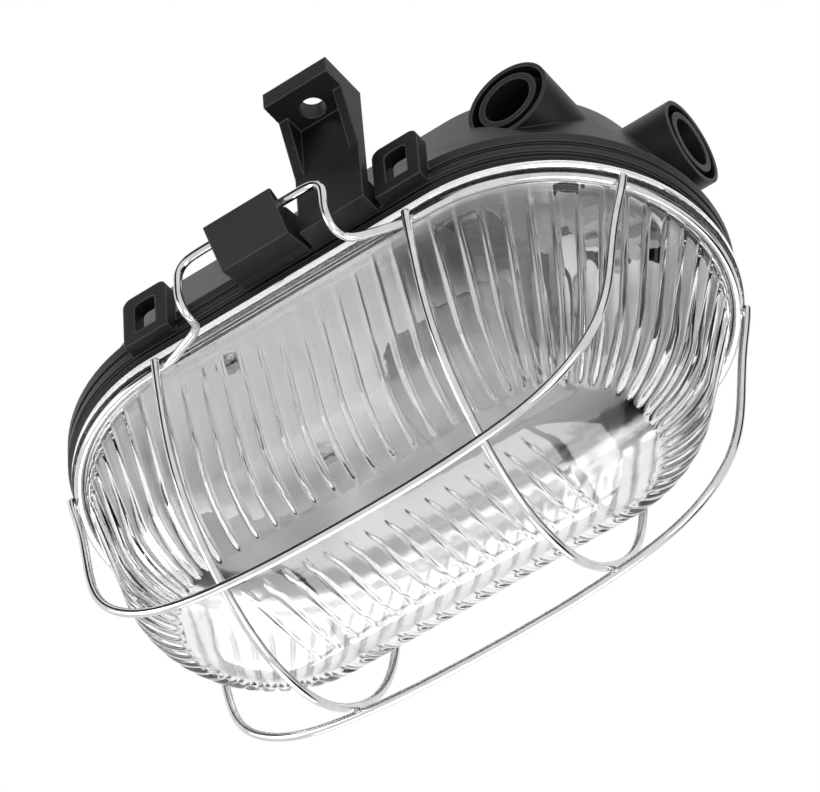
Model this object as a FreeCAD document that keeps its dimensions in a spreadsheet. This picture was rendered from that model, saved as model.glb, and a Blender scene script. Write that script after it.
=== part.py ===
import FreeCAD, Part
import math, os
import PartDesign, Sketcher
from FreeCAD import Vector

# Oval bulkhead ceiling light: moulded pan, ribbed glass, sprung wire guard.
# Millimetres.  +Z up, the ceiling is z = 0, the origin lies midway between the two mounting feet.

doc = FreeCAD.newDocument("ceiling_light")
sheet = doc.addObject("Spreadsheet::Sheet", "sizes")

DRIVING = [
    ("half_straight", 50.0), ("rim_radius", 60.0), ("rim_step", 1.5), ("pan_flare", 18.5), ("pan_depth", 40.3),
    ("rim_depth", 9.7), ("wall", 2.7), ("rim_lip", 3.5), ("rim_recess", 2.2), ("rim_recess_depth", 1.0),
    ("rim_ridge", 2.2),
    ("spout_level", 17.0), ("spout_radius", 13.9), ("spout_wall", 1.3), ("sleeve_radius", 10.05),
    ("cable_bore", 8.0), ("end_spout_reach", 59.4), ("side_spout_shift", 25.8), ("side_spout_set_back", 12.5),
    ("spout_gap_depth", 6.0), ("side_bore_start", 20.0),
    ("foot_x", 25.0), ("foot_hole_reach", 13.5), ("foot_width", 23.0), ("foot_thick", 6.3),
    ("foot_reach", 22.5), ("foot_hole", 3.8), ("strut_reach", 8.4), ("strut_thick", 3.4), ("foot_rib", 3.2),
    ("foot_rib_reach", 15.0), ("foot_rib_end", 28.0), ("strut_root", 2.0),
    ("hook_width", 24.0), ("hook_reach", 12.0), ("hook_drop", 1.6), ("hook_height", 13.9),
    ("hook_root", 12.5), ("hook_nose", 8.6), ("hook_slope", 1.6), ("notch_gap", 0.3),
    ("lug_inset", 4.0), ("lug_width", 16.0), ("lug_reach", 4.5), ("lug_depth", 4.7), ("lug_top", 29.0),
    ("lug_height", 20.0), ("lug_slot_width", 7.6), ("lug_slot_margin", 4.0), ("lug_corner", 3.0),
    ("gasket_margin", 1.0), ("gasket_width", 6.5), ("gasket_thick", 3.0),
    ("glass_gap", 0.3), ("flange_overhang", 1.5), ("flange_thick", 3.5),
    ("groove_inset", 1.4), ("groove_width", 1.4), ("groove_depth", 0.8),
    ("dome_inset", 4.0), ("dome_foot_height", 8.5), ("dome_side_run", 9.4), ("dome_side_height", 34.7),
    ("shoulder_run", 33.75), ("shoulder_height", 25.9), ("shoulder_radius", 35.0), ("glass_wall", 3.0),
    ("side_rib_pitch", 7.0), ("side_rib_width", 2.4), ("side_rib_height", 1.2), ("side_rib_count", 15),
    ("end_rib_count", 12), ("end_rib_step", 7.5), ("side_rib_inset", 30.0),
    ("front_rib_over", 5.15), ("front_rib_width", 1.8), ("front_rib_height", 0.8), ("front_rib_slope", 3.5),
    ("front_rib_rise", 1.8),
    ("wire_radius", 1.38), ("weld_bite", 0.25), ("ring_drop", 9.4), ("ring_inset", 1.0),
    ("ring_end_gap", 1.0), ("ring_kink_inset", 6.5), ("bail_x", 26.5), ("bail_root_reach", 3.4),
    ("root_bend", 4.0), ("bail_bend", 6.0), ("bail_reach", 14.1), ("bail_rise", 9.9), ("bail_corner", 7.0),
    ("wire_end_gap", 0.5), ("hoop_inset", 4.5), ("hoop_leg_inset", 4.0), ("hoop_leg_drop", 31.0),
    ("hoop_knee_inset", 27.8), ("hoop_knee_drop", 11.1), ("hoop_knee_radius", 20.0), ("hoop_slope", 28.0),
    ("hoop_flat_radius", 22.0), ("hoop_drop", 24.1),
    ("long_leg_inset", 5.2), ("long_leg_drop", 44.0), ("long_knee_inset", 3.08), ("long_knee_rise", 9.5),
    ("long_knee_radius", 12.0), ("long_slope", 35.0), ("long_bend_radius", 30.0), ("long_rise", 12.0),
    ("long_flat_radius", 60.0),
    ("boss_inset", 5.0), ("boss_y", 24.0), ("boss_radius", 4.2), ("pilot_radius", 1.8),
    ("tray_level", 26.5), ("tray_thick", 1.0), ("tray_margin", 6.5), ("tray_flare", 8.0), ("tray_lip", 5.0),
    ("screw_radius", 1.75), ("screw_head_radius", 3.5), ("screw_head", 2.2), ("screw_length", 14.0),
    ("screw_slot", 0.9),
    ("lamp_drop", 10.0), ("holder_radius", 21.0), ("holder_length", 42.8), ("holder_offset", 0.8),
    ("holder_collar", 16.0), ("holder_step", 1.5), ("holder_bore", 14.2), ("holder_bore_depth", 30.0),
    ("shell_radius", 14.15), ("shell_pitch", 3.6),
    ("screw_gap", 12.0), ("bracket_thick", 1.5), ("bracket_width", 16.0), ("bracket_foot", 12.0),
    ("bracket_span", 30.0),
    ("block_offset", 20.0), ("block_length", 18.0), ("block_width", 24.0), ("block_height", 13.0),
    ("sleeve_y", 6.5), ("terminal_radius", 3.0), ("terminal_bore", 1.6), ("lead_radius", 1.2),
    ("lead_bend", 8.0), ("lead_drop", 12.0),
]

# Sizes that follow the two governing ones: the length of the straight sides and the radius of the rim.
DERIVED = [
    ("pan_rim_radius", "rim_radius - rim_step"),
    ("pan_top_radius", "pan_rim_radius - pan_flare"),
    ("rim_bottom", "pan_depth + rim_depth"),
    ("spout_gap_radius", "spout_radius - spout_wall"),
    ("end_spout_mouth", "half_straight + end_spout_reach"),
    ("side_spout_x", "half_straight + side_spout_shift"),
    ("side_spout_mouth", "rim_radius - side_spout_set_back"),
    ("foot_y", "rim_radius + foot_hole_reach"),
    ("foot_out", "rim_radius + foot_reach"),
    ("strut_front", "rim_radius + strut_reach"),
    ("foot_rib_out", "rim_radius + foot_rib_reach"),
    ("hook_ridge_y", "rim_radius + hook_reach"),
    ("hook_ridge_z", "rim_bottom + hook_drop"),
    ("lug_x", "half_straight - lug_inset"),
    ("lug_front", "rim_radius + lug_reach"),
    ("lug_bottom", "lug_top + lug_height"),
    ("lug_slot_top", "lug_top + lug_slot_margin"),
    ("lug_slot_bottom", "lug_bottom - lug_slot_margin"),
    ("gasket_outer", "rim_radius - gasket_margin"),
    ("gasket_inner", "gasket_outer - gasket_width"),
    ("flange_radius", "rim_radius + flange_overhang"),
    ("groove_outer", "rim_radius - groove_inset"),
    ("groove_inner", "groove_outer - groove_width"),
    ("dome_foot_radius", "rim_radius - dome_inset"),
    ("dome_foot_level", "rim_bottom + dome_foot_height"),
    ("dome_shoulder_y", "dome_foot_radius - dome_side_run"),
    ("dome_shoulder_level", "dome_foot_level + dome_side_height"),
    ("dome_front_y", "dome_shoulder_y - shoulder_run"),
    ("dome_front_level", "dome_shoulder_level + shoulder_height"),
    ("side_rib_end", "rim_radius - side_rib_inset"),
    ("front_rib_reach", "dome_front_y + front_rib_over"),
    ("ring_radius", "rim_radius - ring_inset"),
    ("ring_level", "rim_bottom + ring_drop"),
    ("ring_centre", "half_straight - ring_end_gap"),
    ("ring_straight_end", "half_straight - ring_kink_inset"),
    ("bail_root_y", "rim_radius + bail_root_reach"),
    ("bail_y", "rim_radius + bail_reach"),
    ("bail_top", "rim_bottom - bail_rise"),
    ("hoop_x", "half_straight - hoop_inset"),
    ("hoop_leg_level", "rim_bottom + hoop_leg_drop"),
    ("hoop_knee_y", "rim_radius - hoop_knee_inset"),
    ("hoop_knee_level", "dome_front_level + hoop_knee_drop"),
    ("hoop_bottom", "dome_front_level + hoop_drop"),
    ("long_leg_level", "rim_bottom + long_leg_drop"),
    ("long_knee_level", "dome_front_level - long_knee_rise"),
    ("boss_x", "half_straight - boss_inset"),
    ("tray_lip_radius", "pan_rim_radius - tray_margin"),
    ("tray_floor_radius", "tray_lip_radius - tray_flare"),
    ("tray_lip_level", "rim_bottom - tray_lip"),
    ("lamp_level", "rim_bottom + lamp_drop"),
    ("holder_back", "half_straight + holder_offset"),
    ("holder_mouth", "holder_back - holder_length"),
    ("block_x", "half_straight + block_offset"),
]


class Size:
    """A number together with the sheet formula it comes from."""

    def __init__(self, value, text):
        self.v = float(value)
        self.t = text

    def __add__(self, other):
        other = size(other)
        return Size(self.v + other.v, "(%s + %s)" % (self.t, other.t))

    def __sub__(self, other):
        other = size(other)
        return Size(self.v - other.v, "(%s - %s)" % (self.t, other.t))

    def __mul__(self, other):
        other = size(other)
        return Size(self.v * other.v, "(%s * %s)" % (self.t, other.t))

    def __truediv__(self, other):
        other = size(other)
        return Size(self.v / other.v, "(%s / %s)" % (self.t, other.t))

    def __rsub__(self, other):
        return size(other) - self

    def __neg__(self):
        return Size(-self.v, "(0 - %s)" % self.t)

    __radd__ = __add__
    __rmul__ = __mul__


def size(value):
    return value if isinstance(value, Size) else Size(value, "%.6g" % value)


class Sizes:
    pass


S = Sizes()
for row, (alias, content) in enumerate(DRIVING + DERIVED, start=1):
    sheet.set("A%d" % row, alias)
    sheet.set("B%d" % row, "=" + content if isinstance(content, str) else "%g" % content)
    sheet.setAlias("B%d" % row, alias)
doc.recompute()
for alias, content in DRIVING + DERIVED:
    setattr(S, alias, Size(sheet.get(alias), "sizes.%s" % alias))

PLANES = {"XY": "XY_Plane", "XZ": "XZ_Plane", "YZ": "YZ_Plane"}
AXES = {"X": "X_Axis", "Y": "Y_Axis", "Z": "Z_Axis"}
NODES = []


def new_body(name):
    body = doc.addObject("PartDesign::Body", name)
    body.Label = name
    NODES.append(body)
    return body


def origin_item(body, role):
    return next(item for item in body.Origin.OriginFeatures if item.Role == role)


def bind(thing, prop, value):
    thing.setExpression(prop, size(value).t)


def new_sketch(body, plane, offset=0):
    sk = body.newObject("Sketcher::SketchObject", "sketch")
    sk.AttachmentSupport = [(origin_item(body, PLANES[plane]), "")]
    sk.MapMode = "FlatFace"
    bind(sk, "AttachmentOffset.Base.z", offset)
    return sk


def hold(sk, kind, *where):
    """Add a driving constraint whose last entry is a size, bound to the sheet."""
    value = size(where[-1])
    if kind == "Angle":
        number = math.radians(value.v)
    else:
        number = value.v
    index = sk.addConstraint(Sketcher.Constraint(kind, *where[:-1], number))
    sk.setExpression("Constraints[%d]" % index, value.t)


def pin(sk, geometry, point, u, w):
    """Fix one point of a sketch at (u, w)."""
    for kind, axis, value in (("DistanceX", -2, size(u)), ("DistanceY", -1, size(w))):
        if value.t == "0":
            sk.addConstraint(Sketcher.Constraint("PointOnObject", geometry, point, axis))
        else:
            hold(sk, kind, -1, 1, geometry, point, value)


def circle(sk, u, w, radius):
    u, w, radius = size(u), size(w), size(radius)
    g = sk.addGeometry(Part.Circle(Vector(u.v, w.v, 0), Vector(0, 0, 1), radius.v), False)
    pin(sk, g, 3, u, w)
    hold(sk, "Radius", g, radius)


def stadium(sk, half, radius):
    """Oval of two straight sides and two half circles."""
    half, radius = size(half), size(radius)
    a, r = half.v, radius.v
    up, z = math.pi / 2, Vector(0, 0, 1)
    g = sk.addGeometry([
        Part.LineSegment(Vector(-a, -r, 0), Vector(a, -r, 0)),
        Part.ArcOfCircle(Part.Circle(Vector(a, 0, 0), z, r), -up, up),
        Part.LineSegment(Vector(a, r, 0), Vector(-a, r, 0)),
        Part.ArcOfCircle(Part.Circle(Vector(-a, 0, 0), z, r), up, 3 * up)], False)
    for one, two in ((0, 1), (1, 2), (2, 3), (3, 0)):
        sk.addConstraint(Sketcher.Constraint("Coincident", g[one], 2, g[two], 1))
    for arc, side in ((g[1], half), (g[3], -half)):
        pin(sk, arc, 3, side, 0)
        hold(sk, "Radius", arc, radius)
        sk.addConstraint(Sketcher.Constraint("Vertical", arc, 3, arc, 1))
        sk.addConstraint(Sketcher.Constraint("Vertical", arc, 3, arc, 2))


def outline(sk, points, closed=True):
    """Lines and arcs; a third entry is the radius of the arc to the next point, minus = turning right."""
    points = [tuple(size(x) for x in p) for p in points]
    after = points[1:] + points[:1] if closed else points[1:]
    ends = []
    for one, two in zip(points, after):
        p, q = Vector(one[0].v, one[1].v, 0), Vector(two[0].v, two[1].v, 0)
        if len(one) == 2:
            ends.append((sk.addGeometry(Part.LineSegment(p, q), False), 1, 2))
            continue
        r = one[2].v
        chord = q - p
        rise = math.sqrt(max(r * r - chord.Length ** 2 / 4, 0))
        left = Vector(-chord.y, chord.x, 0).normalize()
        centre = (p + q) * 0.5 + left * math.copysign(rise, r)
        first, last = (p, q) if r > 0 else (q, p)
        a0 = math.atan2(first.y - centre.y, first.x - centre.x)
        a1 = math.atan2(last.y - centre.y, last.x - centre.x)
        if a1 < a0:
            a1 += 2 * math.pi
        arc = Part.ArcOfCircle(Part.Circle(centre, Vector(0, 0, 1), abs(r)), a0, a1)
        ends.append((sk.addGeometry(arc, False),) + ((1, 2) if r > 0 else (2, 1)))
        hold(sk, "Radius", ends[-1][0], one[2] if r > 0 else -one[2])
    for one, two in zip(ends, ends[1:] + ends[:1] if closed else ends[1:]):
        sk.addConstraint(Sketcher.Constraint("Coincident", one[0], one[2], two[0], two[1]))
    for end, point in zip(ends, points):
        pin(sk, end[0], end[1], point[0], point[1])
    if not closed:
        pin(sk, ends[-1][0], ends[-1][2], points[-1][0], points[-1][1])


def box_outline(sk, u0, u1, w0, w1):
    outline(sk, [(u0, w0), (u1, w0), (u1, w1), (u0, w1)])


def extrude(body, kind, sk, length, reverse=False, both=False):
    feature = body.newObject("PartDesign::" + kind, kind.lower())
    feature.Profile = sk
    bind(feature, "Length", length)
    feature.Reversed = reverse
    if both:
        feature.SideType = "Symmetric"
    sk.Visibility = False
    return feature


def spin(body, kind, sk, axis, angle=360, both=False):
    feature = body.newObject("PartDesign::" + kind, kind.lower())
    feature.Profile = sk
    feature.ReferenceAxis = axis
    feature.Angle = angle
    feature.Midplane = both
    return feature


def loft(body, kind, first, second):
    feature = body.newObject("PartDesign::" + kind, kind.lower())
    feature.Profile = first
    feature.Sections = [second]
    feature.Ruled = True
    return feature


def pipe(body, profile, path):
    feature = body.newObject("PartDesign::AdditivePipe", "pipe")
    feature.Profile = profile
    feature.Spine = (path, [])
    return feature


def mirror(body, plane, originals=None):
    doc.recompute()
    feature = body.newObject("PartDesign::Mirrored", "mirrored")
    if originals:
        feature.Originals = originals
    else:
        feature.TransformMode = "Whole shape"
    feature.MirrorPlane = (origin_item(body, PLANES[plane]), [""])
    body.Tip = feature
    return feature


def polar(body, originals, count, angle=360):
    doc.recompute()
    feature = body.newObject("PartDesign::PolarPattern", "polar")
    feature.Originals = originals
    feature.Axis = (origin_item(body, AXES["Z"]), [""])
    bind(feature, "Angle", angle)
    bind(feature, "Occurrences", count)
    body.Tip = feature
    return feature


def linear(body, axis, originals, length, count, reverse=False):
    doc.recompute()
    feature = body.newObject("PartDesign::LinearPattern", "row")
    feature.Originals = originals
    feature.Direction = (origin_item(body, AXES[axis]), [""])
    feature.Reversed = reverse
    bind(feature, "Length", length)
    bind(feature, "Occurrences", count)
    body.Tip = feature
    return feature


def wire_path(sk, bottom, flat, knee, knee_radius, leg, top, bends):
    """Half of a bent guard wire: flat middle, bends outwards, knee, long curve and straight leg.

    `knee`, `leg` and `top` are the pinned ends of the knee bend, of the long curve and of the leg.
    `bends` lists (radius, slope after it) from the middle outwards.  Closed forms start the solver.
    """
    end = math.atan2(leg[1].v - top[1].v, top[0].v - leg[0].v)
    rise, run = knee[1].v - leg[1].v, leg[0].v - knee[0].v
    turn = 2 * math.atan2(rise, run) - end
    sweep = rise / (math.cos(turn) - math.cos(end))
    slopes = [0.0] + [math.radians(b[1].v) for b in bends] + [turn]
    radii = [b[0].v for b in bends] + [knee_radius.v]
    steps = list(zip(radii, slopes, slopes[1:]))
    up = bottom.v - knee[1].v - sum(r * (math.cos(one) - math.cos(two)) for r, one, two in steps)
    out = knee[0].v - sum(r * (math.sin(two) - math.sin(one)) for r, one, two in steps)
    if len(bends) == 1:
        lengths = [up / math.sin(slopes[1])]
        start = out - lengths[0] * math.cos(slopes[1])
    else:
        start = flat.v
        one, two = slopes[1], slopes[2]
        share = (out - start) * math.sin(two) - up * math.cos(two)
        first = share / math.sin(two - one)
        lengths = [first, (up - first * math.sin(one)) / math.sin(two)]
    chain = [("line", start)]
    for b, length, slope in zip(bends, lengths, slopes[1:]):
        chain += [("arc", b[0].v, slope), ("line", length)]
    chain += [("arc", knee_radius.v, turn), ("arc", sweep, end)]

    at, heading, parts = Vector(0, -bottom.v, 0), 0.0, []
    for step in chain:
        if step[0] == "line":
            to = at + Vector(math.cos(heading), math.sin(heading), 0) * step[1]
            parts.append(sk.addGeometry(Part.LineSegment(at, to), False))
        else:
            r = step[1]
            centre = at + Vector(-math.sin(heading), math.cos(heading), 0) * r
            a0, a1 = heading - math.pi / 2, step[2] - math.pi / 2
            ring = Part.Circle(centre, Vector(0, 0, 1), r)
            parts.append(sk.addGeometry(Part.ArcOfCircle(ring, a0, a1), False))
            to = centre + Vector(math.cos(a1), math.sin(a1), 0) * r
            heading = step[2]
        at = to
    parts.append(sk.addGeometry(Part.LineSegment(at, Vector(top[0].v, -top[1].v, 0)), False))
    for one, two in zip(parts, parts[1:]):
        sk.addConstraint(Sketcher.Constraint("Tangent", one, 2, two, 1))
    pin(sk, parts[0], 1, 0, -bottom)
    sk.addConstraint(Sketcher.Constraint("Horizontal", parts[0]))
    if flat:
        hold(sk, "DistanceX", -1, 1, parts[0], 2, flat)
    for number, b in enumerate(bends):
        hold(sk, "Radius", parts[1 + 2 * number], b[0])
        hold(sk, "Angle", parts[2 + 2 * number], b[1])
    hold(sk, "Radius", parts[-3], knee_radius)
    pin(sk, parts[-3], 2, knee[0], -knee[1])
    pin(sk, parts[-1], 1, leg[0], -leg[1])
    pin(sk, parts[-1], 2, top[0], -top[1])


def base_housing():
    """Black moulded pan with its rim, spouts, feet, guard hooks and lugs."""
    body = new_body("base_housing")
    back = new_sketch(body, "XY")
    stadium(back, S.half_straight, S.pan_top_radius)
    front = new_sketch(body, "XY", -S.pan_depth)
    stadium(front, S.half_straight, S.pan_rim_radius)
    loft(body, "AdditiveLoft", back, front)
    rim = new_sketch(body, "XY", -S.pan_depth)
    stadium(rim, S.half_straight, S.rim_radius)
    extrude(body, "Pad", rim, S.rim_bottom - S.pan_depth, reverse=True)
    end = new_sketch(body, "YZ", S.half_straight)
    circle(end, 0, -S.spout_level, S.spout_radius)
    extrude(body, "Pad", end, S.end_spout_mouth - S.half_straight)
    side = new_sketch(body, "XZ")
    circle(side, S.side_spout_x, -S.spout_level, S.spout_radius)
    extrude(body, "Pad", side, S.side_spout_mouth)

    hook = new_sketch(body, "YZ")
    y, z, notch = -S.hook_ridge_y, -S.hook_ridge_z, S.wire_radius + S.notch_gap
    top, nose = z + S.hook_height, y - S.hook_nose
    outline(hook, [(y + S.hook_root, top), (y + 9.0, top), (-S.bail_y + notch + 4.6, -S.bail_top + 0.4),
                   (-S.bail_y + notch * 0.96, -S.bail_top - notch * 0.28, -notch),
                   (-S.bail_y - notch * 0.96, -S.bail_top - notch * 0.28),
                   (nose + 1.2, top - 1.3), (nose, top - 2.3), (y, z), (y + 8.1, z + S.hook_slope),
                   (y + S.hook_root, z + S.hook_slope)])
    hook_pad = extrude(body, "Pad", hook, S.hook_width, both=True)

    lug = new_sketch(body, "XZ", S.lug_front - S.lug_depth)
    c, k = S.lug_corner, S.lug_slot_width / 4
    for middle in (S.lug_x, -S.lug_x):
        for half, low, high, r in ((S.lug_width / 2, -S.lug_bottom, -S.lug_top, c),
                                   (S.lug_slot_width / 2, -S.lug_slot_bottom, -S.lug_slot_top, k)):
            x0, x1 = middle - half, middle + half
            outline(lug, [(x0, low), (x1, low), (x1, high - r, r), (x1 - r, high), (x0 + r, high, r),
                          (x0, high - r)])
    lug_pad = extrude(body, "Pad", lug, S.lug_depth)
    mirror(body, "XZ", [hook_pad, lug_pad])

    left, right = S.foot_x - S.foot_width / 2, S.foot_x + S.foot_width / 2
    inner = S.strut_front - S.strut_thick
    plate = new_sketch(body, "YZ", left)
    box_outline(plate, -S.foot_out, -inner, -S.foot_thick, 0)
    plate_pad = extrude(body, "Pad", plate, S.foot_width)
    strut = new_sketch(body, "YZ", left)
    outline(strut, [(-S.strut_front, -S.rim_bottom), (-S.strut_front + 1.6, -S.rim_bottom),
                    (-S.rim_radius + S.strut_root, -S.rim_bottom), (-S.rim_radius + S.strut_root, -S.pan_depth),
                    (-inner, -S.pan_depth), (-inner, -S.foot_thick + 1.0),
                    (-S.strut_front, -S.foot_thick + 1.0)])
    strut_pad = extrude(body, "Pad", strut, S.foot_width)
    tools = [plate_pad, strut_pad]
    for start in (left, right - S.foot_rib):
        rib = new_sketch(body, "YZ", start)
        outline(rib, [(-S.strut_front + 0.5, -S.foot_rib_end), (-S.strut_front + 0.5, -S.foot_thick + 0.5),
                      (-S.foot_rib_out, -S.foot_thick + 0.5), (-S.foot_rib_out, -S.foot_thick)])
        tools.append(extrude(body, "Pad", rib, S.foot_rib))
    polar(body, tools, 2)
    hole = new_sketch(body, "XY")
    circle(hole, S.foot_x, -S.foot_y, S.foot_hole)
    circle(hole, -S.foot_x, S.foot_y, S.foot_hole)
    extrude(body, "Pocket", hole, S.foot_thick + 1.0)

    mouth = new_sketch(body, "XY", -S.rim_bottom)
    stadium(mouth, S.half_straight, S.pan_rim_radius - S.wall)
    extrude(body, "Pocket", mouth, S.rim_bottom - S.pan_depth, reverse=True)
    wide = new_sketch(body, "XY", -S.pan_depth)
    stadium(wide, S.half_straight, S.pan_rim_radius - S.wall)
    narrow = new_sketch(body, "XY", -S.wall)
    stadium(narrow, S.half_straight, S.pan_top_radius - S.wall * 0.6)
    loft(body, "SubtractiveLoft", wide, narrow)
    recess = new_sketch(body, "XY", -S.pan_depth - S.rim_lip)
    stadium(recess, S.half_straight, S.rim_radius + 0.4)
    stadium(recess, S.half_straight, S.rim_radius - S.rim_recess_depth)
    extrude(body, "Pocket", recess, S.rim_recess)
    step = new_sketch(body, "XY", -S.pan_depth - S.rim_lip - S.rim_recess - S.rim_ridge)
    stadium(step, S.half_straight, S.rim_radius + 0.4)
    stadium(step, S.half_straight, S.rim_radius - S.rim_recess_depth)
    extrude(body, "Pocket", step, S.rim_bottom)
    for plane, mouth_at, across in (("YZ", S.end_spout_mouth, 0), ("XZ", S.side_spout_mouth, S.side_spout_x)):
        gap = new_sketch(body, plane, mouth_at)
        circle(gap, across, -S.spout_level, S.spout_gap_radius)
        circle(gap, across, -S.spout_level, S.sleeve_radius)
        extrude(body, "Pocket", gap, S.spout_gap_depth)
        bore = new_sketch(body, plane, mouth_at)
        circle(bore, across, -S.spout_level, S.cable_bore)
        extrude(body, "Pocket", bore, mouth_at - (S.half_straight if plane == "YZ" else S.side_bore_start))

    boss = new_sketch(body, "XY", -S.wall + 0.4)
    for sx in (1, -1):
        for sy in (1, -1):
            circle(boss, S.boss_x * sx, S.boss_y * sy, S.boss_radius)
    extrude(body, "Pad", boss, S.tray_level - S.wall + 0.4, reverse=True)
    pilot = new_sketch(body, "XY", -S.tray_level)
    for sx in (1, -1):
        for sy in (1, -1):
            circle(pilot, S.boss_x * sx, S.boss_y * sy, S.pilot_radius)
    extrude(body, "Pocket", pilot, S.screw_length, reverse=True)


def rim_gasket():
    """Flat black rubber seal between the rim and the glass."""
    body = new_body("rim_gasket")
    ring = new_sketch(body, "XY", -S.rim_bottom)
    stadium(ring, S.half_straight, S.gasket_outer)
    stadium(ring, S.half_straight, S.gasket_inner)
    extrude(body, "Pad", ring, S.gasket_thick, reverse=True)


def dome_points(wall, top):
    """Outer half of the dome section as (distance from the axis, level, arc) from the foot inwards."""
    return [(S.dome_foot_radius - wall, -top), (S.dome_foot_radius - wall, -S.dome_foot_level),
            (S.dome_shoulder_y - wall * 0.9656, -S.dome_shoulder_level + wall * 0.2602,
             S.shoulder_radius - wall),
            (S.dome_front_y, -S.dome_front_level + wall)]


def dome_across(sk, wall, top):
    """Whole section across the straight part."""
    foot, base, shoulder, edge = dome_points(wall, top)
    outline(sk, [(-foot[0], foot[1]), (-base[0], base[1]), (-shoulder[0], shoulder[1], shoulder[2]),
                 (-edge[0], edge[1]), (edge[0], edge[1], shoulder[2]), (shoulder[0], shoulder[1]),
                 base, foot])


def dome_half(sk, centre, side, wall, top):
    """Half section of one rounded end, with its axis of turning."""
    foot, base, shoulder, edge = dome_points(wall, top)
    outline(sk, [(centre, foot[1]), (centre + foot[0] * side, foot[1]), (centre + base[0] * side, base[1]),
                 (centre + shoulder[0] * side, shoulder[1], shoulder[2] * -side),
                 (centre + edge[0] * side, edge[1]), (centre, edge[1])])
    low, high = Vector(centre.v, foot[1].v, 0), Vector(centre.v, edge[1].v, 0)
    line = sk.addGeometry(Part.LineSegment(low, high), True)
    pin(sk, line, 1, centre, foot[1])
    pin(sk, line, 2, centre, edge[1])


def side_rib(sk, centre, side):
    """Crescent standing on the dome, pointed at the foot and blunt at the front."""
    h = S.side_rib_height
    reach, out, inn = S.side_rib_end, S.shoulder_radius + h, S.shoulder_radius - 1
    middle = -S.dome_front_level + S.shoulder_radius

    def level(radius, across):
        rise = math.sqrt(radius.v ** 2 - (across.v - S.dome_front_y.v) ** 2)
        text = "sqrt((%s) ^ 2 - (%s - %s) ^ 2)" % (radius.t, across.t, S.dome_front_y.t)
        return middle - Size(rise, text)

    points = [(S.dome_foot_radius - 0.5, -S.dome_foot_level - 1.0),
              (S.dome_shoulder_y + h * 0.9656, -S.dome_shoulder_level - h * 0.2602, out * -side),
              (reach + 2, level(out, reach + 2)), (reach, level(inn, reach), inn * side),
              (S.dome_shoulder_y - 0.9656, -S.dome_shoulder_level + 0.2602),
              (S.dome_foot_radius - 2.0, -S.dome_foot_level - 2.0)]
    outline(sk, [(centre + p[0] * side,) + p[1:] for p in points])


def glass_cover():
    """Thick pressed glass: flange with a groove round its front, dome, side ribs and front ribs."""
    body = new_body("glass_cover")
    top = S.rim_bottom + S.gasket_thick + S.glass_gap
    flange = new_sketch(body, "XY", -top)
    stadium(flange, S.half_straight, S.flange_radius)
    extrude(body, "Pad", flange, S.flange_thick, reverse=True)
    turns = []
    for kind, spun, wall in (("Pad", "Revolution", size(0)), ("Pocket", "Groove", S.glass_wall)):
        across = new_sketch(body, "YZ")
        dome_across(across, wall, top)
        extrude(body, kind, across, S.half_straight * 2, both=True)
        for side in (1, -1):
            half = new_sketch(body, "XZ")
            dome_half(half, S.half_straight * side, side, wall, top)
            spin(body, spun, half, (half, ["Axis0"]), 180, both=True)
            turns.append(half)
    groove = new_sketch(body, "XY", -top - S.flange_thick)
    stadium(groove, S.half_straight, S.groove_outer)
    stadium(groove, S.half_straight, S.groove_inner)
    extrude(body, "Pocket", groove, S.groove_depth, reverse=True)

    row = S.side_rib_pitch * (S.side_rib_count - 1)
    tools = []
    for side in (1, -1):
        sk = new_sketch(body, "YZ", row / -2)
        side_rib(sk, size(0), side)
        tools.append(extrude(body, "Pad", sk, S.side_rib_width, both=True))
    across = new_sketch(body, "YZ", row / -2)
    low, reach = -S.dome_front_level - S.front_rib_height, S.front_rib_reach
    flat = reach - S.front_rib_slope
    rise = low + S.front_rib_rise
    outline(across, [(-reach, rise), (-flat, low), (flat, low), (reach, rise)])
    tools.append(extrude(body, "Pad", across, S.front_rib_width, both=True))
    linear(body, "X", tools, row, S.side_rib_count)
    for side, axis in ((1, turns[0]), (-1, turns[1])):
        sk = new_sketch(body, "XZ")
        side_rib(sk, S.half_straight * side, side)
        rib = extrude(body, "Pad", sk, S.side_rib_width, both=True)
        for way in (False, True):
            fan = polar(body, [rib], S.end_rib_count, S.end_rib_step * (S.end_rib_count - 1))
            fan.Axis = (axis, ["Axis0"])
            fan.Reversed = way


def guard_ring():
    """Ring wire under the glass flange, drawn out into a square bail on each long side."""
    body = new_body("guard_ring")
    r, corner, level = S.bail_bend, S.bail_corner, -S.ring_level
    apex = S.ring_centre + S.ring_radius
    run = S.bail_y - r
    start = new_sketch(body, "XZ")
    circle(start, apex, level, S.wire_radius)
    path = new_sketch(body, "XY", level)
    quarter_ring(path, run)
    pipe(body, start, path)
    turn = new_sketch(body, "XZ", -run)
    circle(turn, S.bail_x, level, S.wire_radius)
    up = new_sketch(body, "YZ", S.bail_x)
    outline(up, [(run, level, r), (S.bail_y, level + r), (S.bail_y, -S.bail_top - corner)], closed=False)
    pipe(body, turn, up)
    top = new_sketch(body, "XY", -S.bail_top - corner)
    circle(top, S.bail_x, S.bail_y, S.wire_radius)
    bar = new_sketch(body, "XZ", -S.bail_y)
    outline(bar, [(S.bail_x, -S.bail_top - corner, corner), (S.bail_x - corner, -S.bail_top),
                  (0, -S.bail_top)], closed=False)
    pipe(body, top, bar)
    mirror(body, "YZ")
    mirror(body, "XZ")


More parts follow.
